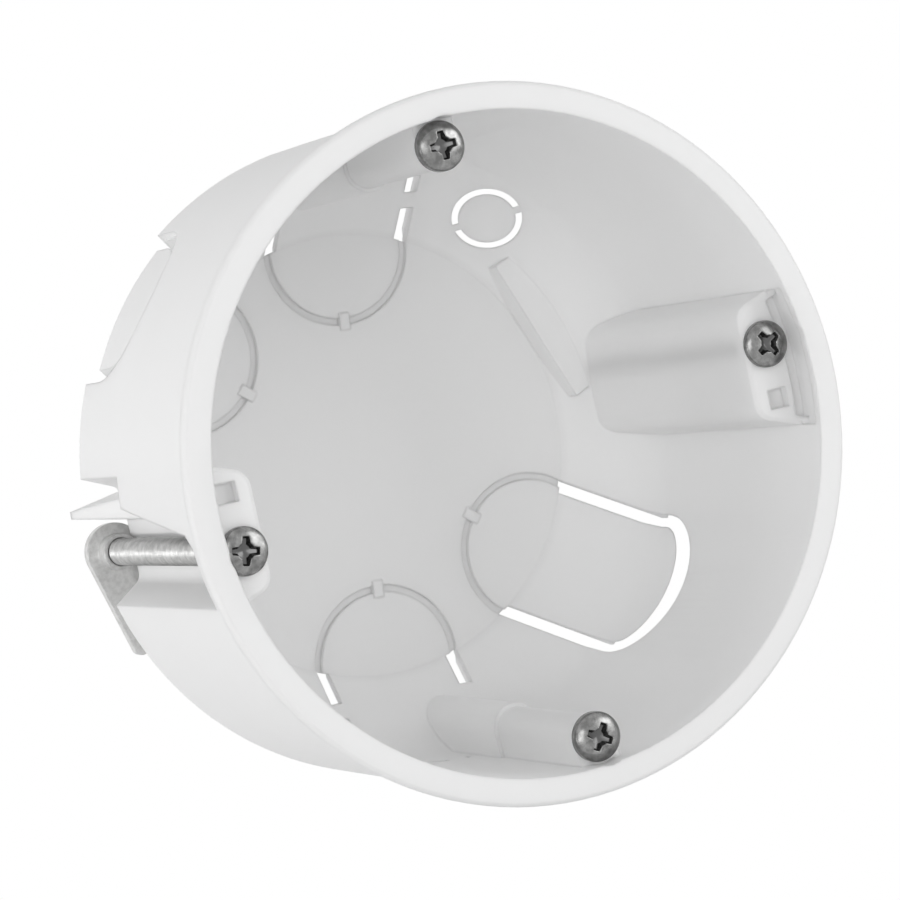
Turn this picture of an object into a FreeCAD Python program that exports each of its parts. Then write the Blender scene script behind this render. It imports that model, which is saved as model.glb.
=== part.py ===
import FreeCAD, Part
import math
import os

# A drywall back box: a round moulded cup for a hollow wall, with bent cable knockouts,
# two screws for the device's frame and two clamping claws that swing out behind the board.
# The axis runs along Y. The cup opens towards -Y, and y = 0 is the back of the flange,
# the plane that lies on the board. Every depth below is counted from the rim's front.
# A feature is drawn at angle 0, on +X, and turned about the axis to its own angle.

# Cup
body_diameter = 68.3
flange_diameter = 70.8
flange_thickness = 1.0
flange_round = 0.75
edge_bevels = 3
wall = 1.55
cup_depth = 45.0
floor_thickness = 1.5
bend_run = 8.45
bend_wall = 2.15
bend_ease = 1.6

# Device screws, one at the top and one at the bottom
device_inset = 2.6
device_angles = {"top": 90.0, "bottom": 270.0}
screw_shank_radius = 1.45
screw_bore_gap = 0.05
device_head_radius = 2.5
device_head_height = 1.5
device_head_front = 1.2
device_screw_reach = 18.0
device_tip_gap = 1.0
head_gap = 0.3
boss_radius = 2.2
boss_foot_radius = 2.6
boss_foot_depth = 21.0

# Cross recess and rounding of every screw head
recess_arm_length = 2.7
recess_arm_width = 0.75
recess_depth = 1.2
head_chamfer = 0.55
tip_chamfer = 0.35

# Knockouts for cables, bent from the floor up the wall
knockout_inner_radius = 7.0
knockout_slot = 1.35
knockout_inset = 9.9
tab_thickness = 0.8
thinning_margin = 0.4
groove_depth = 0.5
groove_width = 0.75
rib_length = 1.9
rib_width = 1.2
rib_height = 0.15
long_knockout_angles = (137.5, 317.5)
long_knockout_reach = 11.0
short_knockout_angles = (81.5, 261.5)
short_knockout_reach = 8.5
side_bridge_start = 3.5
side_bridge_width = 1.6
end_bridge_width = 2.0
boss_margin = 0.4

# Small round knockout in the bend
round_angle = 47.4
round_inset = 3.6
round_outer_radius = 3.88
round_slot = 0.7
round_bridge_width = 0.9
round_bridge_turn = -9.0

# Claw housings, on the right and on the left
claw_angles = {"right": 4.3, "left": 184.3}
claw_axis_inset = 4.11
housing_turn = -7.3
housing_reach = 6.7
housing_wall = 0.75
housing_low = -3.5
housing_high = 7.8
housing_flare = 0.33
housing_corner = 2.0
pocket_wall = 0.65
pocket_lip = 0.9
screen_depth = 24.5
mouth_low = -3.0
mouth_corner = 1.2
mouth_lean = 0.16
land_depth = 3.7
land_thickness = 1.8
land_bevel = 0.4
land_end_inset = 2.15
window_start = 1.65
window_length = 2.1
window_low = -2.9
window_high = -0.9
land_recess = 1.1

# Parking notch for a claw, seen inside the cup as a ledge
ledge_turn = 14.7
ledge_height = 3.2
ledge_half_width = 8.6
notch_wall = 1.3
notch_gap = 0.66

# Claws
claw_length = 11.35
claw_root_radius = 3.1
claw_tip_radius = 0.8
claw_thickness = 1.2
claw_parking_gap = 0.8
claw_collar_radius = 1.9
claw_collar_gap = 0.3
claw_collar_length = 2.0
claw_head_radius = 2.4
claw_head_height = 1.1
land_hole_gap = 0.08

# Stop tooth beside each claw
stop_turn = -8.9
stop_length = 10.6
stop_tip_inset = 0.55
stop_back_gap = 1.4
stop_root_half = 1.6
stop_tip_half = 0.4

# Sizes that follow
body_radius = body_diameter / 2
flange_radius = flange_diameter / 2
bore_radius = body_radius - wall
floor_radius = bore_radius - bend_run
floor_depth = cup_depth - floor_thickness
bend_sum = floor_radius + floor_depth
bend_depth = bend_sum - bore_radius
bend_outer_sum = bend_sum + bend_wall * math.sqrt(2)
tab_radius = bore_radius + tab_thickness
tab_outer_sum = bend_sum + tab_thickness * math.sqrt(2)
device_radius = bore_radius - device_inset
boss_front = device_head_front + device_head_height
screw_bore_radius = screw_shank_radius + screw_bore_gap
slot_outer_radius = knockout_inner_radius + knockout_slot
knockout_centre = bore_radius - knockout_inset
round_radius = bore_radius - round_inset
claw_axis_radius = body_radius - claw_axis_inset
housing_face = body_radius - housing_reach
recess_face = housing_face + housing_wall
pocket_radius = body_radius - pocket_wall
land_back = land_depth + land_thickness
land_end_radius = body_radius - land_end_inset
ledge_depth = floor_depth - ledge_height
notch_depth = ledge_depth + floor_thickness
notch_inner = claw_axis_radius * math.cos(math.radians(ledge_turn)) - claw_root_radius - notch_gap
claw_back_depth = cup_depth - claw_parking_gap
claw_front_depth = claw_back_depth - claw_thickness
stop_tip_radius = body_radius - stop_tip_inset
stop_tip_depth = cup_depth - stop_back_gap
stop_root_depth = stop_tip_depth - stop_length
beyond = flange_diameter

centre = FreeCAD.Vector(0, 0, 0)
along_x = FreeCAD.Vector(1, 0, 0)
along_y = FreeCAD.Vector(0, 1, 0)
along_z = FreeCAD.Vector(0, 0, 1)


def level(depth):
    """Y of a depth that is counted from the rim's front."""
    return depth - flange_thickness


def at(radius, depth, across=0.0):
    """Point at a radius on +X, a depth and a distance across, towards +Z."""
    return FreeCAD.Vector(radius, level(depth), across)


def turned(shape, angle):
    """Copy turned about the cup's axis from +X towards +Z."""
    copy = shape.copy()
    copy.rotate(centre, along_y, -angle)
    return copy


def revolved(outline):
    """Solid of revolution about the axis from (radius, depth) corners."""
    corners = [at(radius, depth) for radius, depth in outline]
    wire = Part.makePolygon(corners + corners[:1])
    return Part.Face(wire).revolve(centre, along_y, 360)


def rod(radius, start, end, distance=0.0, across=0.0):
    """Round rod parallel to the axis between two depths."""
    return Part.makeCylinder(radius, end - start, at(distance, start, across), along_y)


def block(inner, outer, start, end, low, high):
    """Block between two radii on +X, two depths and two places across."""
    corner = at(inner, start, low)
    return Part.makeBox(outer - inner, end - start, high - low, corner)


def rounded_face(corners, radii):
    """Flat face in the XZ plane whose corners are arcs of the given radii."""
    edges = []
    ends = []
    count = len(corners)
    for i in range(count):
        here = FreeCAD.Vector(corners[i][0], 0, corners[i][1])
        back = FreeCAD.Vector(corners[i - 1][0], 0, corners[i - 1][1]) - here
        ahead = FreeCAD.Vector(corners[(i + 1) % count][0], 0, corners[(i + 1) % count][1]) - here
        back.normalize()
        ahead.normalize()
        half = back.getAngle(ahead) / 2
        if radii[i] <= 0:
            ends.append((here, here))
            continue
        reach = radii[i] / math.tan(half)
        bisector = back + ahead
        bisector.normalize()
        middle = here + bisector * (radii[i] / math.sin(half) - radii[i])
        first = here + back * reach
        last = here + ahead * reach
        edges.append(Part.Arc(first, middle, last).toShape())
        ends.append((first, last))
    for i in range(count):
        start = ends[i - 1][1]
        end = ends[i][0]
        if start.distanceToPoint(end) > 1e-6:
            edges.append(Part.LineSegment(start, end).toShape())
    return Part.Face(Part.Wire(Part.sortEdges(edges)[0]))


def prism(corners, radii, start, end):
    """Rounded outline across the axis, run along the axis between two depths."""
    face = rounded_face(corners, radii)
    face.translate(FreeCAD.Vector(0, level(start), 0))
    return face.extrude(along_y * (end - start))


def cup_envelope():
    """The cup's outside without its flange, filled solid."""
    back_radius = bend_outer_sum - cup_depth
    corner_depth = bend_outer_sum - body_radius
    outline = [(0, 0), (body_radius, 0), (body_radius, corner_depth)]
    outline += [(back_radius, cup_depth), (0, cup_depth)]
    return revolved(outline)


def cup_hollow():
    """The cup's inside, open past the rim, with its bend eased by one narrow strip."""
    slant = bend_ease / math.sqrt(2)
    outline = [(0, -wall), (bore_radius, -wall), (bore_radius, bend_depth - bend_ease)]
    outline += [(bore_radius - slant, bend_depth + slant), (floor_radius, floor_depth), (0, floor_depth)]
    return revolved(outline)


def flange():
    """Thin ring that stays in front of the board, its outer edge softened by short bevels."""
    outline = [(0, flange_thickness), (0, 0)]
    for step in range(edge_bevels + 1):
        turn = math.radians(90 * step / edge_bevels)
        edge_radius = flange_radius - flange_round * (1 - math.sin(turn))
        outline.append((edge_radius, flange_round * (1 - math.cos(turn))))
    outline.append((flange_radius, flange_thickness))
    return revolved(outline)


def boss(name):
    """Half-round rib with a thicker foot, which takes a device screw."""
    angle = device_angles[name]
    slender = rod(boss_radius, boss_front, floor_depth, device_radius)
    root = block(device_radius, body_radius, boss_front, floor_depth, -boss_radius, boss_radius)
    foot = rod(boss_foot_radius, boss_foot_depth, floor_depth, device_radius)
    foot_root = block(device_radius, body_radius, boss_foot_depth, floor_depth,
                      -boss_foot_radius, boss_foot_radius)
    return turned(slender.fuse([root, foot, foot_root]), angle)


def boss_bore(name):
    """Blind hole for a device screw, with room for its head above it."""
    hole = rod(screw_bore_radius, 0, boss_front + device_screw_reach + device_tip_gap, device_radius)
    room = rod(device_head_radius + head_gap, -wall, boss_front, device_radius)
    return turned(hole.fuse(room), device_angles[name])


def band(radius, turn):
    """Solid outline of a bent knockout: two prisms that meet round the bend."""
    floor_round = rod(radius, turn, cup_depth + wall, knockout_centre)
    floor_run = block(knockout_centre, beyond, turn, cup_depth + wall, -radius, radius)
    wall_disc = Part.makeCylinder(radius, beyond, at(device_radius - wall, turn), along_x)
    return floor_round.fuse(floor_run), wall_disc


def knockout_cuts(turn, beside_boss):
    """Slots round a bent knockout and the thinning of its tab, drawn at angle 0."""
    outer_floor, outer_wall = band(slot_outer_radius, turn)
    inner_floor, inner_wall = band(knockout_inner_radius, turn)
    bent = outer_floor.cut(inner_floor)
    through = bent.cut(rod(floor_radius, 0, cup_depth + wall))
    end = outer_wall.cut(inner_wall)
    end = end.cut(block(0, beyond, turn, cup_depth, -beyond, beyond))
    if beside_boss > 0:
        bridge_radius = knockout_centre + side_bridge_start
        bridge = block(bridge_radius, bridge_radius + side_bridge_width,
                       0, cup_depth, -beyond, beyond)
        past_boss = block(device_radius - boss_radius, beyond, 0, cup_depth, 0, beyond)
        keep = block(0, beyond, 0, cup_depth, beside_boss, beyond)
        post = block(0, beyond, 0, cup_depth, -end_bridge_width / 2, end_bridge_width / 2)
        through = through.cut([bridge, past_boss])
        end = end.cut([keep, post])
    groove_floor, groove_wall = band(slot_outer_radius - groove_width, turn)
    groove = outer_floor.cut(groove_floor)
    groove = groove.common(rod(floor_radius, floor_depth - groove_depth, floor_depth + groove_depth))
    wide_floor, wide_wall = band(slot_outer_radius + thinning_margin, turn)
    tab_outline = [(tab_radius, 0), (tab_radius, tab_outer_sum - tab_radius)]
    tab_outline += [(tab_outer_sum - floor_depth - tab_thickness, floor_depth + tab_thickness)]
    tab_outline += [(0, floor_depth + tab_thickness), (0, cup_depth + wall)]
    tab_outline += [(beyond, cup_depth + wall), (beyond, 0)]
    thin = revolved(tab_outline)
    thinning = thin.common(wide_floor.fuse(wide_wall))
    return [through, end, groove, thinning]


def knockout_rib():
    """Short raised rib across the groove, at the floor end of a knockout."""
    middle = knockout_centre - slot_outer_radius + groove_width / 2
    return block(middle - rib_length / 2, middle + rib_length / 2, floor_depth - rib_height,
                 floor_depth + groove_depth, -rib_width / 2, rib_width / 2)


def round_knockout_cut():
    """Ring slot square to the bend, broken by two opposite bridges."""
    normal = (along_x + along_y).normalize()
    foot = at(round_radius, bend_sum - round_radius) - normal * bend_wall
    outer = Part.makeCylinder(round_outer_radius, 3 * bend_wall, foot, normal)
    inner = Part.makeCylinder(round_outer_radius - round_slot, 3 * bend_wall, foot, normal)
    bar = Part.makeBox(4 * round_outer_radius, round_bridge_width, 3 * bend_wall)
    bar.translate(FreeCAD.Vector(-2 * round_outer_radius, -round_bridge_width / 2, 0))
    bar.rotate(centre, along_z, round_bridge_turn)
    bar.Placement = FreeCAD.Placement(foot, FreeCAD.Rotation(along_z, normal)).multiply(bar.Placement)
    return turned(outer.cut([inner, bar]), round_angle)


def round_knockout_thinning():
    """Outside of the bend taken down to the tab's thickness round the small knockout."""
    normal = (along_x + along_y).normalize()
    foot = at(round_radius, bend_sum - round_radius) + normal * tab_thickness
    disc_radius = round_outer_radius + thinning_margin
    return turned(Part.makeCylinder(disc_radius, 2 * bend_wall, foot, normal), round_angle)


def housing_outline(face, inset, outer):
    """Corners of a claw housing's section: a flat face with two flared sides."""
    run = outer - housing_face
    low = housing_low + inset
    high = housing_high - inset
    flare = housing_flare * run
    return [(face, low), (face, high), (outer, high + flare), (outer, low - flare)]


def housing(name):
    """Inward bulge of the wall that carries a claw screw on its front land."""
    corners = housing_outline(housing_face, 0, body_radius)
    bulge = prism(corners, [housing_corner, housing_corner, 0, 0], land_depth, floor_depth)
    edges = [e for e in bulge.Edges if abs(e.BoundBox.YMax - level(land_depth)) < 1e-6]
    edges = [e for e in edges if e.BoundBox.XMin < bore_radius - land_bevel]
    bulge = bulge.makeChamfer(land_bevel, edges)
    return turned(bulge, claw_angles[name] + housing_turn)


def mouth_screen():
    """Space that a housing's mouth leaves alone: its edge leans, with one corner cut off."""
    end = cup_depth + wall
    lean = mouth_lean * (end - land_back - mouth_corner)
    edge = [(0, mouth_low + mouth_corner), (land_back, mouth_low + mouth_corner)]
    edge += [(land_back + mouth_corner, mouth_low), (end, mouth_low - lean), (end, -beyond), (0, -beyond)]
    corners = [at(0, depth, across) for depth, across in edge]
    return Part.Face(Part.makePolygon(corners + corners[:1])).extrude(along_x * beyond)


def housing_cuts(name):
    """Hollow behind the land with its mouth and open end, and the recesses in front of it."""
    corners = housing_outline(recess_face, housing_wall, flange_radius + wall)
    inner_corner = housing_corner - housing_wall
    radii = [inner_corner, inner_corner, 0, 0]
    hollow = prism(corners, radii, land_back, screen_depth)
    mouth = hollow.cut(turned(mouth_screen(), -housing_turn))
    hollow = hollow.common(rod(bore_radius, 0, cup_depth))
    open_end = prism(corners, radii, screen_depth, cup_depth + wall)
    window_inner = housing_face + window_start
    window = block(window_inner, window_inner + window_length, 0, land_depth + land_recess,
                   window_low, window_high)
    pocket = prism(housing_outline(housing_face, 0, body_radius), [0] * 4, pocket_lip, land_depth)
    pocket = pocket.common(rod(pocket_radius, 0, land_depth).cut(rod(housing_face, 0, land_depth)))
    gap = prism(corners, radii, pocket_lip, land_depth + land_recess)
    gap = gap.common(rod(pocket_radius, 0, land_back).cut(rod(land_end_radius, 0, land_back)))
    bay = rod(claw_collar_radius + claw_collar_gap, land_back, cup_depth + wall, claw_axis_radius)
    turned_cuts = [turned(cut, claw_angles[name] + housing_turn)
                   for cut in (hollow, mouth, open_end, window, pocket, gap)]
    return turned_cuts + [turned(bay, claw_angles[name])]


def land_hole(name):
    """Hole for the claw screw's shank, with room for its head in front of the land."""
    hole = rod(screw_shank_radius + land_hole_gap, 0, cup_depth, claw_axis_radius)
    room = rod(claw_head_radius + head_gap, -wall, land_depth, claw_axis_radius)
    return turned(hole.fuse(room), claw_angles[name])


def ledge(name):
    """Raised step on the floor, the inside of a claw's parking notch."""
    step = block(notch_inner - notch_wall, body_radius, ledge_depth, cup_depth,
                 -ledge_half_width, ledge_half_width)
    return turned(step, claw_angles[name] + ledge_turn)


def notch(name):
    """Space behind the cup where the folded claw is parked."""
    low = -ledge_half_width - claw_root_radius
    high = ledge_half_width - notch_wall
    space = block(notch_inner, beyond, notch_depth, cup_depth + wall, low, high)
    return turned(space, claw_angles[name] + ledge_turn)


def stop_tooth(name):
    """Pointed tooth beside the screw, which stops the claw once it has swung out."""
    side = [(recess_face - housing_wall / 2, stop_root_depth)]
    side += [(stop_tip_radius, stop_tip_depth), (recess_face - housing_wall / 2, stop_tip_depth)]
    corners = [at(radius, depth, -beyond) for radius, depth in side]
    plate = Part.Face(Part.makePolygon(corners + corners[:1])).extrude(along_z * 2 * beyond)
    wedge = [(housing_face, -stop_root_half), (stop_tip_radius, -stop_tip_half)]
    wedge += [(stop_tip_radius, stop_tip_half), (housing_face, stop_root_half)]
    web = prism(wedge, [0] * 4, stop_root_depth, cup_depth)
    return turned(plate.common(web), claw_angles[name] + stop_turn)


def box_body():
    """The whole moulding."""
    envelope = cup_envelope()
    shell = envelope.cut(cup_hollow())
    inside = [boss(name) for name in device_angles]
    inside += [housing(name) for name in claw_angles]
    inside += [ledge(name) for name in claw_angles]
    body = shell.fuse([piece.common(envelope) for piece in inside])
    cuts = []
    for angle in long_knockout_angles:
        turn_depth = floor_depth - long_knockout_reach
        cuts += [turned(cut, angle) for cut in knockout_cuts(turn_depth, 0)]
    for angle, name in zip(short_knockout_angles, device_angles):
        away = math.radians(device_angles[name] - angle)
        beside = device_radius * math.sin(away) - boss_foot_radius - boss_margin
        turn_depth = floor_depth - short_knockout_reach
        cuts += [turned(cut, angle) for cut in knockout_cuts(turn_depth, beside)]
    cuts += [boss_bore(name) for name in device_angles]
    for name in claw_angles:
        cuts += housing_cuts(name)
    cuts += [land_hole(name) for name in claw_angles]
    cuts += [notch(name) for name in claw_angles]
    cuts += [round_knockout_cut(), round_knockout_thinning()]
    rim = flange().cut(rod(bore_radius, -wall, cup_depth))
    body = body.fuse(rim).cut(cuts)
    ribs = [turned(knockout_rib(), angle) for angle in long_knockout_angles + short_knockout_angles]
    teeth = [stop_tooth(name) for name in claw_angles]
    return body.fuse(ribs + teeth).removeSplitter()


def screw(head_radius, head_height, head_front, end, distance):
    """Pan-head screw with a cross recess, drawn on +X."""
    head = rod(head_radius, head_front, head_front + head_height, distance)
    top = [e for e in head.Edges if e.Closed and e.BoundBox.YMax < level(head_front + head_height / 2)]
    head = head.makeChamfer(head_chamfer, top)
    shank = rod(screw_shank_radius, head_front + head_height, end, distance)
    tip = [e for e in shank.Edges if e.Closed and e.BoundBox.YMin > level(end - tip_chamfer)]
    shank = shank.makeChamfer(tip_chamfer, tip)
    half_length = recess_arm_length / 2
    half_width = recess_arm_width / 2
    floor = head_front + recess_depth
    one = block(distance - half_length, distance + half_length, 0, floor, -half_width, half_width)
    other = block(distance - half_width, distance + half_width, 0, floor, -half_length, half_length)
    return head.fuse(shank).cut(one.fuse(other)).removeSplitter()


def device_screw(name):
    """Screw that holds the device's frame on the rim."""
    end = boss_front + device_screw_reach
    piece = screw(device_head_radius, device_head_height, device_head_front, end, device_radius)
    return turned(piece, device_angles[name])


def claw_screw(name):
    """Long screw that turns in the land and draws the claw forwards."""
    front = land_depth - claw_head_height
    piece = screw(claw_head_radius, claw_head_height, front, cup_depth, claw_axis_radius)
    return turned(piece, claw_angles[name])


def claw(name):
    """Sheet-metal claw: a tapering plate with a drawn collar, parked along the notch."""
    slope = math.asin((claw_root_radius - claw_tip_radius) / (claw_length - claw_tip_radius))
    reach = claw_length - claw_tip_radius
    sides = []
    for side in (-1, 1):
        for radius, along in ((claw_root_radius, 0), (claw_tip_radius, reach)):
            sides.append((side * radius * math.cos(slope), along + radius * math.sin(slope)))
    corners = [sides[0], sides[1], sides[3], sides[2]]
    plate = prism(corners, [0] * 4, claw_front_depth, claw_back_depth)
    root = rod(claw_root_radius, claw_front_depth, claw_back_depth)
    tip = rod(claw_tip_radius, claw_front_depth, claw_back_depth, 0, reach)
    collar = rod(claw_collar_radius, claw_front_depth - claw_collar_length, claw_front_depth)
    piece = plate.fuse([root, tip, collar]).removeSplitter()
    piece = piece.cut(rod(screw_bore_radius, 0, claw_back_depth + claw_thickness))
    piece.rotate(centre, along_y, claw_angles["right"])
    piece.translate(along_x * claw_axis_radius)
    return turned(piece, claw_angles[name])


parts = {"box_body": box_body()}
for side in device_angles:
    parts["device_screw_" + side] = device_screw(side)
for side in claw_angles:
    parts["claw_screw_" + side] = claw_screw(side)
    parts["claw_" + side] = claw(side)

os.makedirs("parts", exist_ok=True)
for name, shape in parts.items():
    shape.exportStep("parts/" + name + ".step")
    box = shape.BoundBox
    print(name, shape.ShapeType, len(shape.Solids), shape.isValid(), round(shape.Volume, 2),
          [round(v, 2) for v in (box.XMin, box.XMax, box.YMin, box.YMax, box.ZMin, box.ZMax)])
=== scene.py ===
import math
import bmesh
import bpy
import numpy as np
from mathutils import Matrix, Vector


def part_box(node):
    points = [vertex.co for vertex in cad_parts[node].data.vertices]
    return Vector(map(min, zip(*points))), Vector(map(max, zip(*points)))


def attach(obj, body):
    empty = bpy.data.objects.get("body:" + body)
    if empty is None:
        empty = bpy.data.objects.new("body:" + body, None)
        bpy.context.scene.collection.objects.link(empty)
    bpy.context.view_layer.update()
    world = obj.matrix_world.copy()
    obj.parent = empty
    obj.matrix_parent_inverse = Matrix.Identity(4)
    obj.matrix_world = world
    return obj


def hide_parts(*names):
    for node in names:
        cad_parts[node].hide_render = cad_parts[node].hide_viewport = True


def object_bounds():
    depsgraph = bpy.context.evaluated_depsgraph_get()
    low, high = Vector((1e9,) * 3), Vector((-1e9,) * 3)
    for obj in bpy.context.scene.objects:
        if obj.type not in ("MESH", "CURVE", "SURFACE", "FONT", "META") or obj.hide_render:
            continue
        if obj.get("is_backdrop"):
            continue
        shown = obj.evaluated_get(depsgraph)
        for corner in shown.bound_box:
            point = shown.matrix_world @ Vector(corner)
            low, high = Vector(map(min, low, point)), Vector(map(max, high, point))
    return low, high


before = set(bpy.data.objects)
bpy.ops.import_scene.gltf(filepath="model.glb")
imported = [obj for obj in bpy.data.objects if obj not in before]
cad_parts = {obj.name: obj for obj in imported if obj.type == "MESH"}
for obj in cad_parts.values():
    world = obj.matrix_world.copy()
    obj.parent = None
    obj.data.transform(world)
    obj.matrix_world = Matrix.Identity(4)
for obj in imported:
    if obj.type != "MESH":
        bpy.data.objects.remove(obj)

scene = bpy.context.scene
cad_low, cad_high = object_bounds()

# The box is one injection moulding of pale satin polypropylene: a thin round cup with a flange,
# bent knockout tabs, screw bosses and two claw housings. Its skin is finely sandy, its thin
# walls glow a little, and two of its knockout slots run through the wall at a lean.
PLASTIC = (0.93, 0.93, 0.93, 1.0)
PLASTIC_CLOUD = (0.915, 0.915, 0.915, 1.0)
# Painted shade: the cup's floor is painted darker than its walls.
PAINTED_FLOOR_SHADE = (0.885, 0.885, 0.885, 1.0)
PLASTIC_ROUGHNESS = 0.55
PLASTIC_GLOW = 0.4
PLASTIC_GLOW_REACH = 0.0025
FLOOR_SHADE_START = 0.0022
FLOOR_SHADE_BLEND = 0.0006
PLASTIC_EDGE = 0.00035
CLOUD_SCALE = 38.0
CLOUD_DETAIL = 3.0
CLOUD_STOPS = (0.35, 0.65)
SKIN_SCALE = 5200.0
SKIN_DETAIL = 2.0
SKIN_HEIGHT = 0.000010
EDGE_SAMPLES = 3
MERGE_DISTANCE = 1e-7
BORE_RADIUS = 0.0326
SHARP_ANGLE = 28.0
SLOT_COLUMNS = 33
SLOT_START = 0.0008
SLOT_END = 0.009
TAB_ANGLE = 317.5
TAB_TURN = 0.0315
TAB_OUTER_RADIUS = 0.00835
TAB_HALF_WIDTH = 0.007
TAB_END_REACH = 0.00505
TAB_LEAN = (0.42, 0.89, 0.19)
RING_ANGLE = 47.4
RING_CENTRE = (0.029, 0.03765, 0.0)
RING_RADII = (0.00388, 0.00318)
RING_BRIDGE_TURN = 126.0
RING_BRIDGE_HALF = 0.00045
RING_LEAN = (0.27, 0.91, -0.32)
RING_END = 0.0045


def new_material(name):
    """New procedural material, with its node tree and its shader."""
    material = bpy.data.materials.new(name)
    material.use_nodes = True
    tree = material.node_tree
    return material, tree, tree.nodes["Principled BSDF"]


def object_noise(tree, scale, detail, roughness=0.5):
    """Noise on the piece's own Object coordinates."""
    place = tree.nodes.new("ShaderNodeTexCoord")
    noise = tree.nodes.new("ShaderNodeTexNoise")
    noise.inputs["Scale"].default_value = scale
    noise.inputs["Detail"].default_value = detail
    noise.inputs["Roughness"].default_value = roughness
    tree.links.new(place.outputs["Object"], noise.inputs["Vector"])
    return noise


def colour_ramp(tree, fac, positions, colours):
    """Colour ramp over a value, with a colour at each of two positions."""
    ramp = tree.nodes.new("ShaderNodeValToRGB")
    for element, position, colour in zip(ramp.color_ramp.elements, positions, colours):
        element.position = position
        element.color = colour
    tree.links.new(fac, ramp.inputs["Fac"])
    return ramp


def soft_edge_bump(tree, shader, edge, height, distance):
    """Rounds the shading at edges by a radius and lays a fine bump over it, in metres."""
    rounding = tree.nodes.new("ShaderNodeBevel")
    rounding.samples = EDGE_SAMPLES
    rounding.inputs["Radius"].default_value = edge
    bump = tree.nodes.new("ShaderNodeBump")
    bump.inputs["Distance"].default_value = distance
    tree.links.new(height, bump.inputs["Height"])
    tree.links.new(rounding.outputs["Normal"], bump.inputs["Normal"])
    tree.links.new(bump.outputs["Normal"], shader.inputs["Normal"])


def moulded_plastic():
    """Pale satin plastic: faint clouds, a painted floor shade, a soft glow, soft edges, a sandy skin.
    """
    material, tree, shader = new_material("moulded_plastic")
    clouds = object_noise(tree, CLOUD_SCALE, CLOUD_DETAIL)
    ramp = colour_ramp(tree, clouds.outputs["Fac"], CLOUD_STOPS, (PLASTIC_CLOUD, PLASTIC))
    place = tree.nodes.new("ShaderNodeTexCoord")
    axes = tree.nodes.new("ShaderNodeSeparateXYZ")
    tree.links.new(place.outputs["Object"], axes.inputs["Vector"])
    # Painted shade: past a depth the colour turns darker towards the floor.
    depth = tree.nodes.new("ShaderNodeMapRange")
    depth.inputs["From Min"].default_value = cad_high.y - FLOOR_SHADE_START
    depth.inputs["From Max"].default_value = cad_high.y - FLOOR_SHADE_START + FLOOR_SHADE_BLEND
    tree.links.new(axes.outputs["Y"], depth.inputs["Value"])
    blend = tree.nodes.new("ShaderNodeMixRGB")
    blend.inputs["Color2"].default_value = PAINTED_FLOOR_SHADE
    tree.links.new(depth.outputs["Result"], blend.inputs["Fac"])
    tree.links.new(ramp.outputs["Color"], blend.inputs["Color1"])
    tree.links.new(blend.outputs["Color"], shader.inputs["Base Color"])
    shader.inputs["Roughness"].default_value = PLASTIC_ROUGHNESS
    shader.inputs["Subsurface Weight"].default_value = PLASTIC_GLOW
    shader.inputs["Subsurface Scale"].default_value = PLASTIC_GLOW_REACH
    shader.inputs["Subsurface Radius"].default_value = (1.0, 1.0, 1.0)
    skin = object_noise(tree, SKIN_SCALE, SKIN_DETAIL)
    soft_edge_bump(tree, shader, PLASTIC_EDGE, skin.outputs["Fac"], SKIN_HEIGHT)
    return material


def grid_faces(rows, columns, first):
    """Quads of a closed ring of columns over rows, numbered from the first vertex."""
    row, column = np.meshgrid(np.arange(rows - 1), np.arange(columns), indexing="ij")
    after = (column + 1) % columns
    corners = (row * columns + column, row * columns + after,
               (row + 1) * columns + after, (row + 1) * columns + column)
    return first + np.stack(corners, axis=-1).reshape(-1, 4)


def tab_end_edges():
    """Edges of the slot round the end of a long tab, on the inside of the wall, at angle 0.

    In the wall's own plane the outer edge is half a circle and the inner one half an ellipse
    about the same middle. The radius at each place across keeps both edges on the bore.
    """
    sweep = np.linspace(0.0, np.pi, SLOT_COLUMNS)
    edges = []
    for across, reach in ((TAB_OUTER_RADIUS, TAB_OUTER_RADIUS), (TAB_HALF_WIDTH, TAB_END_REACH)):
        z = across * np.cos(sweep)
        x = np.sqrt(BORE_RADIUS ** 2 - z ** 2)
        edges.append(np.stack([x, TAB_TURN - reach * np.sin(sweep), z], axis=-1))
    return edges


def ring_edges(side):
    """Edges of one half of the small knockout's ring slot, on the slanted bend, at angle 0.

    Both are arcs about the ring's centre in the bend's plane. Each starts and ends half a
    bridge away from the line through the two bridges.
    """
    edges = []
    for radius in RING_RADII:
        clear = math.asin(RING_BRIDGE_HALF / radius)
        start = math.radians(RING_BRIDGE_TURN) + side * math.pi
        sweep = np.linspace(start + clear, start + math.pi - clear, SLOT_COLUMNS)
        down = radius * np.sin(sweep) / math.sqrt(2)
        offset = np.stack([down, -down, radius * np.cos(sweep)], axis=-1)
        edges.append(np.array(RING_CENTRE) + offset)
    return edges


def slot_cutter(name, edges, lean, end, angle):
    """Body between a slot's two edges, carried along its lean and turned about the cup's axis."""
    outer, inner = edges
    way = np.array(lean) / np.linalg.norm(lean)
    rails = [outer - SLOT_START * way, inner - SLOT_START * way, inner + end * way, outer + end * way]
    grid = np.stack(rails, axis=1)
    turn = math.radians(angle)
    x = grid[..., 0] * math.cos(turn) - grid[..., 2] * math.sin(turn)
    z = grid[..., 0] * math.sin(turn) + grid[..., 2] * math.cos(turn)
    points = np.stack([x, grid[..., 1], z], axis=-1).reshape(-1, 3)
    caps = np.array([[3, 2, 1, 0], [0, 1, 2, 3]]) + np.array([[0], [len(points) - 4]])
    mesh = bpy.data.meshes.new(name)
    mesh.from_pydata(points, [], np.concatenate([grid_faces(SLOT_COLUMNS, 4, 0), caps]))
    work = bmesh.new()
    work.from_mesh(mesh)
    bmesh.ops.recalc_face_normals(work, faces=work.faces)
    work.to_mesh(mesh)
    work.free()
    cutter = bpy.data.objects.new(name, mesh)
    scene.collection.objects.link(cutter)
    return cutter


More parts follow.
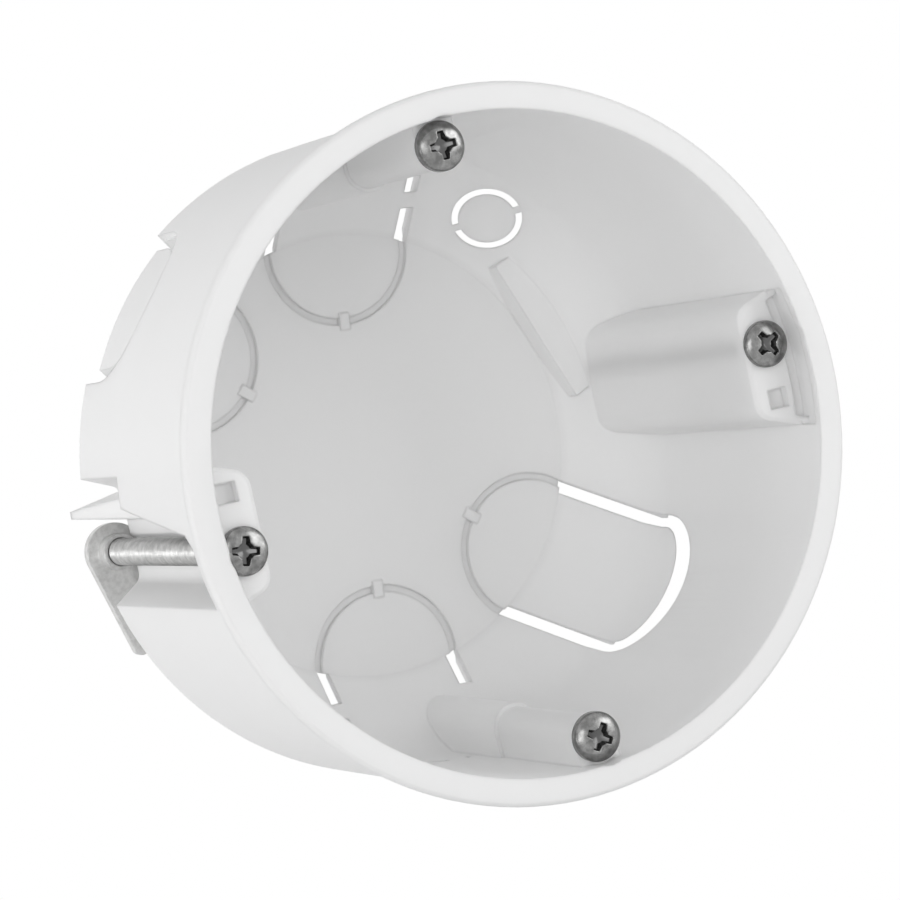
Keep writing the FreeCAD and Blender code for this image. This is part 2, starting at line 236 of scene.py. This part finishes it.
def open_slots(name, node, cutters, material):
    """Copy of a CAD node, merged, with the cutters taken away and its round faces smooth.

    The CAD mesh's own corner normals don't fit the new faces, so the copy drops them.
    """
    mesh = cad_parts[node].data.copy()
    if "custom_normal" in mesh.attributes:
        mesh.attributes.remove(mesh.attributes["custom_normal"])
    work = bmesh.new()
    work.from_mesh(mesh)
    bmesh.ops.remove_doubles(work, verts=work.verts, dist=MERGE_DISTANCE)
    work.to_mesh(mesh)
    work.free()
    piece = bpy.data.objects.new(name, mesh)
    scene.collection.objects.link(piece)
    for cutter in cutters:
        modifier = piece.modifiers.new(cutter.name, "BOOLEAN")
        modifier.operation = "DIFFERENCE"
        modifier.solver = "EXACT"
        modifier.object = cutter
    shaped = piece.evaluated_get(bpy.context.evaluated_depsgraph_get())
    piece_mesh = bpy.data.meshes.new_from_object(shaped)
    piece.modifiers.clear()
    piece.data = piece_mesh
    for cutter in cutters:
        bpy.data.objects.remove(cutter)
    piece_mesh.materials.clear()
    piece_mesh.materials.append(material)
    piece_mesh.shade_smooth()
    piece_mesh.set_sharp_from_angle(angle=math.radians(SHARP_ANGLE))
    return piece


cutters = [slot_cutter("tab_end", tab_end_edges(), TAB_LEAN, SLOT_END, TAB_ANGLE)]
for side in (0, 1):
    half_ring = slot_cutter("ring_half_%d" % side, ring_edges(side), RING_LEAN, RING_END, RING_ANGLE)
    cutters.append(half_ring)
moulding = open_slots("box_moulding", "box_body", cutters, moulded_plastic())
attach(moulding, "box")
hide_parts("box_body")

# Two screws hold the device and two draw the claws. They are zinc-plated steel, with domed
# pan heads and cross recesses punched by cold forming, and with rolled threads. The one zinc
# is painted in two tones: darker on the heads, as painted shade for the dim surroundings they
# reflect, and lighter on the threads, as painted light.
# Painted shade on the head zinc and painted light on the thread zinc, which are one plating.
HEAD_ZINC_SHADED = (0.30, 0.30, 0.297, 1.0)
HEAD_ZINC_SHADED_DARK = (0.17, 0.17, 0.168, 1.0)
THREAD_ZINC_LIT = (0.52, 0.52, 0.515, 1.0)
THREAD_ZINC_LIT_DARK = (0.38, 0.38, 0.377, 1.0)
# Painted shade for the recess floor, darker than the zinc.
PAINTED_RECESS_SHADE = (0.12, 0.12, 0.12, 1.0)
ZINC_CLOUD_SCALE = 1300.0
ZINC_CLOUD_DETAIL = 4.0
ZINC_STOPS = (0.35, 0.65)
HEAD_ROUGHNESS = 0.24
THREAD_ROUGHNESS = 0.4
THREAD_PITCH = 0.0005
THREAD_DEPTH = 0.0002
THREAD_RADIUS = 0.00145
THREAD_RUNOUT = 0.0005
CREST_SLOPE = 1.5
CREST_DROP = 0.15
THREAD_COLUMNS = 32
THREAD_ROWS_PER_TURN = 6
HEAD_HEIGHTS = {"device": 0.0015, "claw": 0.0011}
HEAD_WALL = 0.4
HEAD_SPREAD = 0.9
DOME_POWER = 2.6
HEAD_COLUMNS = 144
DOME_ROWS = 72
WALL_ROWS = 8
RECESS_REACH = 0.00145
RECESS_HALF_WIDTH = 0.00055
RECESS_TAPER = 0.12
RECESS_DEPTH = 0.0011
RECESS_PIT = 0.0009
RECESS_WALL = 0.00022
RECESS_RISE = 0.55
RECESS_RISE_POWER = 1.5
RECESS_SHADE_SLOPE = 4.0
SCREW_WELD = 1e-7
SCREW_TURNS = {"device_screw_top": 0.0, "device_screw_bottom": -33.0,
               "claw_screw_right": 30.0, "claw_screw_left": -15.0}


def zinc_plate(name, dark, light, roughness):
    """Zinc-plated steel: grey metal with small cloudy changes of tone, painted dark in the recess as
    painted shade.
    """
    material, tree, shader = new_material(name)
    clouds = object_noise(tree, ZINC_CLOUD_SCALE, ZINC_CLOUD_DETAIL)
    ramp = colour_ramp(tree, clouds.outputs["Fac"], ZINC_STOPS, (dark, light))
    # Painted shade: the recess's floor turns to a dark colour.
    recess = tree.nodes.new("ShaderNodeAttribute")
    recess.attribute_name = "recess"
    blend = tree.nodes.new("ShaderNodeMixRGB")
    blend.inputs["Color2"].default_value = PAINTED_RECESS_SHADE
    tree.links.new(recess.outputs["Fac"], blend.inputs["Fac"])
    tree.links.new(ramp.outputs["Color"], blend.inputs["Color1"])
    tree.links.new(blend.outputs["Color"], shader.inputs["Base Color"])
    shader.inputs["Metallic"].default_value = 1.0
    shader.inputs["Roughness"].default_value = roughness
    return material


def ease(value):
    """Smooth step from 0 to 1: three squares less two cubes of the clipped value."""
    value = np.clip(value, 0.0, 1.0)
    return value * value * (3.0 - 2.0 * value)


def head_surface(radius, height, turn):
    """Domed pan head over a polar grid, front at -Y, seat at y = 0.

    Row by row the radius grows from 0 to the edge while the height follows an ellipse, which
    stands on a short wall. The recess is the deeper of two crossed tapering bars and a round
    pit, each measured inwards from its outline and eased over the recess's wall. The second
    result is 1 on the recess's floor and 0 outside it, for the painted shade in the recess.
    """
    turns = np.linspace(0.0, 2.0 * np.pi, HEAD_COLUMNS, endpoint=False)[None, :]
    sweep = np.linspace(0.0, 1.0, DOME_ROWS)[:, None]
    out = radius * np.sin(sweep * np.pi / 2) ** HEAD_SPREAD
    wall = height * HEAD_WALL
    dome = wall + (height - wall) * np.sqrt(np.clip(1.0 - (out / radius) ** DOME_POWER, 0.0, 1.0))
    x = out * np.cos(turns - turn)
    z = out * np.sin(turns - turn)
    bars = []
    for along, across in ((np.abs(x), np.abs(z)), (np.abs(z), np.abs(x))):
        half_width = RECESS_HALF_WIDTH - RECESS_TAPER * along
        bars.append(np.minimum(RECESS_REACH - along, half_width - across))
    pit = RECESS_PIT - out + 0 * turns
    inside = np.maximum(np.maximum(bars[0], bars[1]), pit)
    deep = RECESS_DEPTH * (1.0 - RECESS_RISE * (out / RECESS_REACH) ** RECESS_RISE_POWER)
    sunk = ease(inside / RECESS_WALL)
    level = dome - np.clip(deep, 0.0, None) * sunk
    down = np.linspace(wall, 0.0, WALL_ROWS)[1:, None] + 0 * turns
    inward = radius * np.array([1.0, 0.0])[:, None] + 0 * turns
    rings = np.concatenate([out + 0 * turns, radius + 0 * down, inward[1:]])
    levels = np.concatenate([level, down, 0 * turns])
    points = np.stack([rings * np.cos(turns), -levels, rings * np.sin(turns)], axis=-1)
    # Painted shade mask: 1 on the recess's floor, 0 elsewhere.
    bottom = np.clip(RECESS_SHADE_SLOPE * sunk - (RECESS_SHADE_SLOPE - 1.0), 0.0, 1.0)
    return points, np.concatenate([bottom, 0 * levels[DOME_ROWS:]])


def thread_surface(length):
    """Rolled thread from y = 0 backwards: a rod whose radius follows a helix.

    The phase is the depth over the pitch less the angle over a full turn. The radius rises
    and falls with it between root and crest, and runs out smoothly at both ends.
    """
    turns = np.linspace(0.0, 2.0 * np.pi, THREAD_COLUMNS, endpoint=False)[None, :]
    rows = int(length / THREAD_PITCH * THREAD_ROWS_PER_TURN)
    depth = np.linspace(0.0, length, rows)[:, None]
    phase = (depth / THREAD_PITCH - turns / (2.0 * np.pi)) % 1.0
    crest = np.clip(CREST_SLOPE * (1.0 - np.abs(2.0 * phase - 1.0)) - CREST_DROP, 0.0, 1.0)
    fade = ease(depth / THREAD_RUNOUT) * ease((length - depth) / THREAD_RUNOUT)
    radius = THREAD_RADIUS - THREAD_DEPTH * (1.0 - crest * fade)
    points = np.stack([radius * np.cos(turns), depth + 0 * turns, radius * np.sin(turns)], axis=-1)
    tips = points[[0, -1]] * np.array([0.0, 1.0, 0.0])
    points = np.concatenate([tips[:1], points, tips[1:]])
    return points, np.zeros(points.shape[:2])


def mesh_piece(name, grids, place):
    """One smooth mesh object from closed grids of points with recess values and materials."""
    points = []
    shades = []
    faces = []
    numbers = []
    first = 0
    for number, (grid, shade) in enumerate(grids.values()):
        rows, columns = grid.shape[:2]
        faces.append(grid_faces(rows, columns, first))
        points.append(grid.reshape(-1, 3))
        shades.append(shade.reshape(-1))
        numbers.append(np.full(len(faces[-1]), number))
        first += rows * columns
    mesh = bpy.data.meshes.new(name)
    mesh.from_pydata(np.concatenate(points) + np.array(place), [], np.concatenate(faces))
    recess = mesh.attributes.new("recess", "FLOAT", "POINT")
    recess.data.foreach_set("value", np.concatenate(shades))
    for material in grids:
        mesh.materials.append(material)
    mesh.polygons.foreach_set("material_index", np.concatenate(numbers))
    work = bmesh.new()
    work.from_mesh(mesh)
    bmesh.ops.remove_doubles(work, verts=work.verts, dist=SCREW_WELD)
    bmesh.ops.recalc_face_normals(work, faces=work.faces)
    work.to_mesh(mesh)
    work.free()
    mesh.shade_smooth()
    piece = bpy.data.objects.new(name, mesh)
    scene.collection.objects.link(piece)
    return piece


# The heads get the painted-shade zinc and the threads the painted-light zinc.
head_zinc_painted_shade = zinc_plate("head_zinc_painted_shade", HEAD_ZINC_SHADED_DARK, HEAD_ZINC_SHADED, HEAD_ROUGHNESS)
thread_zinc_painted_light = zinc_plate("thread_zinc_painted_light", THREAD_ZINC_LIT_DARK, THREAD_ZINC_LIT, THREAD_ROUGHNESS)
for node, degrees in SCREW_TURNS.items():
    low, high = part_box(node)
    centre_x = (low.x + high.x) / 2
    centre_z = (low.z + high.z) / 2
    head_radius = (high.x - low.x) / 2
    head_height = HEAD_HEIGHTS[node.split("_screw")[0]]
    head = head_surface(head_radius, head_height, math.radians(degrees))
    thread = thread_surface(high.y - low.y - head_height)
    grids = {head_zinc_painted_shade: head, thread_zinc_painted_light: thread}
    piece = mesh_piece(node + "_threaded", grids, (centre_x, low.y + head_height, centre_z))
    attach(piece, node)
    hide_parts(node)

# Each claw is stamped from zinc-plated sheet: a tapering plate with a drawn collar that
# the screw runs through. Its faces are faintly mottled, lighter and duller than the screws.
CLAW_METAL = (0.68, 0.68, 0.675, 1.0)
CLAW_METAL_DARK = (0.54, 0.54, 0.535, 1.0)
CLAW_ROUGHNESS = 0.5
CLAW_EDGE = 0.0002
MOTTLE_SCALE = 1600.0
MOTTLE_DETAIL = 4.0
MOTTLE_ROUGHNESS = 0.6
MOTTLE_HEIGHT = 0.000010
MOTTLE_STOPS = (0.3, 0.6)


def stamped_sheet():
    """Dull zinc-plated sheet with fine mottling and rolled-over edges."""
    material, tree, shader = new_material("stamped_sheet")
    mottle = object_noise(tree, MOTTLE_SCALE, MOTTLE_DETAIL, MOTTLE_ROUGHNESS)
    ramp = colour_ramp(tree, mottle.outputs["Fac"], MOTTLE_STOPS, (CLAW_METAL_DARK, CLAW_METAL))
    tree.links.new(ramp.outputs["Color"], shader.inputs["Base Color"])
    shader.inputs["Metallic"].default_value = 1.0
    shader.inputs["Roughness"].default_value = CLAW_ROUGHNESS
    soft_edge_bump(tree, shader, CLAW_EDGE, mottle.outputs["Fac"], MOTTLE_HEIGHT)
    return material


sheet = stamped_sheet()
for node in ("claw_right", "claw_left"):
    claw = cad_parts[node]
    claw.data.materials.clear()
    claw.data.materials.append(sheet)

# Studio: the box hangs in front of a white sweep, with a pale floor well below it, a soft
# lamp on its left, two weaker ones in front of it and a bright room all round.
FLOOR_DROP = 0.09
FLOOR_SIZE = 6.0
FLOOR_ROUGHNESS = 0.9
WHITE = (1.0, 1.0, 1.0, 1.0)
FLOOR_GREY = (0.8, 0.8, 0.8, 1.0)
ROOM_STRENGTH = 0.51
LAMP_AIM = (0.0, 0.02, 0.0)
LAMP_SIZE = 0.8
LAMPS = (("key_left", (-1.0, 0.14, -0.2), 7.6),
         ("front_left", (-0.62, -0.95, 0.02), 4.1),
         ("front_right", (0.85, -0.8, 0.1), 4.8))


def seen_ray(tree):
    """Value that is 1 for camera, glossy and transmitted rays and 0 for the others."""
    rays = tree.nodes.new("ShaderNodeLightPath")
    seen = rays.outputs["Is Camera Ray"]
    for kind in ("Is Glossy Ray", "Is Transmission Ray"):
        either = tree.nodes.new("ShaderNodeMath")
        either.operation = "MAXIMUM"
        tree.links.new(seen, either.inputs[0])
        tree.links.new(rays.outputs[kind], either.inputs[1])
        seen = either.outputs[0]
    return seen


world = bpy.data.worlds.new("room")
world.use_nodes = True
scene.world = world
tree = world.node_tree
room = tree.nodes["Background"]
room.inputs["Color"].default_value = WHITE
strength = tree.nodes.new("ShaderNodeMapRange")
strength.inputs["To Min"].default_value = ROOM_STRENGTH
strength.inputs["To Max"].default_value = 1.0
tree.links.new(seen_ray(tree), strength.inputs["Value"])
tree.links.new(strength.outputs["Result"], room.inputs["Strength"])

floor_z = cad_low.z - FLOOR_DROP
half = FLOOR_SIZE / 2
floor_mesh = bpy.data.meshes.new("floor")
floor_mesh.from_pydata([(-half, -half, floor_z), (half, -half, floor_z), (half, half, floor_z),
                        (-half, half, floor_z)], [], [(0, 1, 2, 3)])
floor = bpy.data.objects.new("floor", floor_mesh)
scene.collection.objects.link(floor)
floor_material, tree, shader = new_material("pale_floor")
shader.inputs["Base Color"].default_value = FLOOR_GREY
shader.inputs["Roughness"].default_value = FLOOR_ROUGHNESS
white = tree.nodes.new("ShaderNodeEmission")
white.inputs["Color"].default_value = WHITE
mix = tree.nodes.new("ShaderNodeMixShader")
tree.links.new(seen_ray(tree), mix.inputs["Fac"])
tree.links.new(shader.outputs["BSDF"], mix.inputs[1])
tree.links.new(white.outputs["Emission"], mix.inputs[2])
tree.links.new(mix.outputs["Shader"], tree.nodes["Material Output"].inputs["Surface"])
floor_mesh.materials.append(floor_material)
floor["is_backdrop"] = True


def soft_lamp(name, place, aim, size, power):
    """Square soft lamp at a place, turned towards the aim."""
    data = bpy.data.lights.new(name, "AREA")
    data.shape = "SQUARE"
    data.size = size
    data.energy = power
    lamp = bpy.data.objects.new(name, data)
    scene.collection.objects.link(lamp)
    lamp.location = place
    lamp.rotation_euler = (Vector(place) - Vector(aim)).to_track_quat("Z", "Y").to_euler()


for name, place, power in LAMPS:
    soft_lamp(name, place, LAMP_AIM, LAMP_SIZE, power)

# The camera stands a little left of and above the axis, close to the open rim, and is
# rolled so that the upper device screw leans to the left.
VIEW_AZIMUTH = math.radians(-23.10)
VIEW_ELEVATION = math.radians(4.65)
VIEW_ROLL = math.radians(-14.94)
VIEW_DISTANCE = 0.32171
VIEW_TARGET = Vector((-0.00821, -0.001, 0.00156))
VIEW_LENS = 133.66
SENSOR_WIDTH = 36.0
CLIP_START = 0.01

back = Vector((math.sin(VIEW_AZIMUTH) * math.cos(VIEW_ELEVATION),
               -math.cos(VIEW_AZIMUTH) * math.cos(VIEW_ELEVATION), math.sin(VIEW_ELEVATION)))
right = (-back).cross(Vector((0, 0, 1))).normalized()
up = right.cross(-back)
rolled_right = right * math.cos(VIEW_ROLL) + up * math.sin(VIEW_ROLL)
rolled_up = up * math.cos(VIEW_ROLL) - right * math.sin(VIEW_ROLL)
camera_data = bpy.data.cameras.new("camera")
camera_data.lens = VIEW_LENS
camera_data.sensor_width = SENSOR_WIDTH
camera_data.clip_start = CLIP_START
camera = bpy.data.objects.new("camera", camera_data)
scene.collection.objects.link(camera)
turn = Matrix((rolled_right, rolled_up, back)).transposed()
camera.matrix_world = Matrix.Translation(VIEW_TARGET + back * VIEW_DISTANCE) @ turn.to_4x4()
scene.camera = camera

scene.view_settings.view_transform = "Standard"
low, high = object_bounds()
